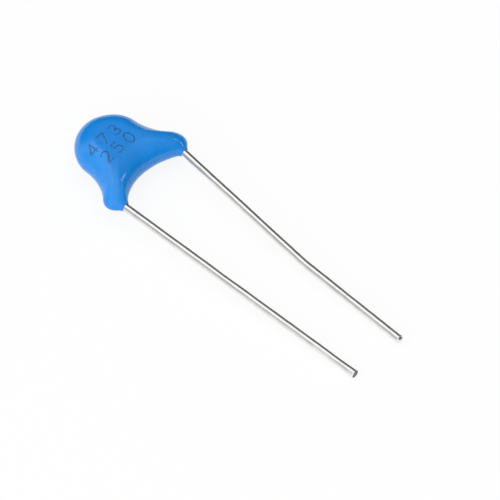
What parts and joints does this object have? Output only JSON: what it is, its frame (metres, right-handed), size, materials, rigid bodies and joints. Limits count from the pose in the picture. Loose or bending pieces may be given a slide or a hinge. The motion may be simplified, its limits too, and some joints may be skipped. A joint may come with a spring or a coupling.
{
  "type": "ceramic disc capacitor",
  "caption": "Small dipped capacitor: a blue epoxy-coated ceramic disc with short legs of coating, and stiff tinned wire leads that run out to one side.",
  "frame": {"origin": "on the plane that the part lies on, at the centre of the small flat on the rear of the coating, under the centre of the ceramic disc", "axes": "+Z out of the printed face, -Y along the leads away from the body, +X across the leads towards the right one, seen from the face with the leads pointing down"},
  "size_m": [0.0082, 0.0282, 0.0029],
  "materials": {
    "blue_epoxy": "gloss",
    "ceramic": "matte",
    "fired_silver": "satin",
    "solder": "satin",
    "tinned_wire": "bright"
  },
  "bodies": {
    "root": {"coating": "blue_epoxy", "ceramic_disc": "ceramic", "front_electrode": "fired_silver", "rear_electrode": "fired_silver", "front_solder": "solder", "rear_solder": "solder", "right_lead": "tinned_wire", "left_lead": "tinned_wire"}
  },
  "joints": []
}
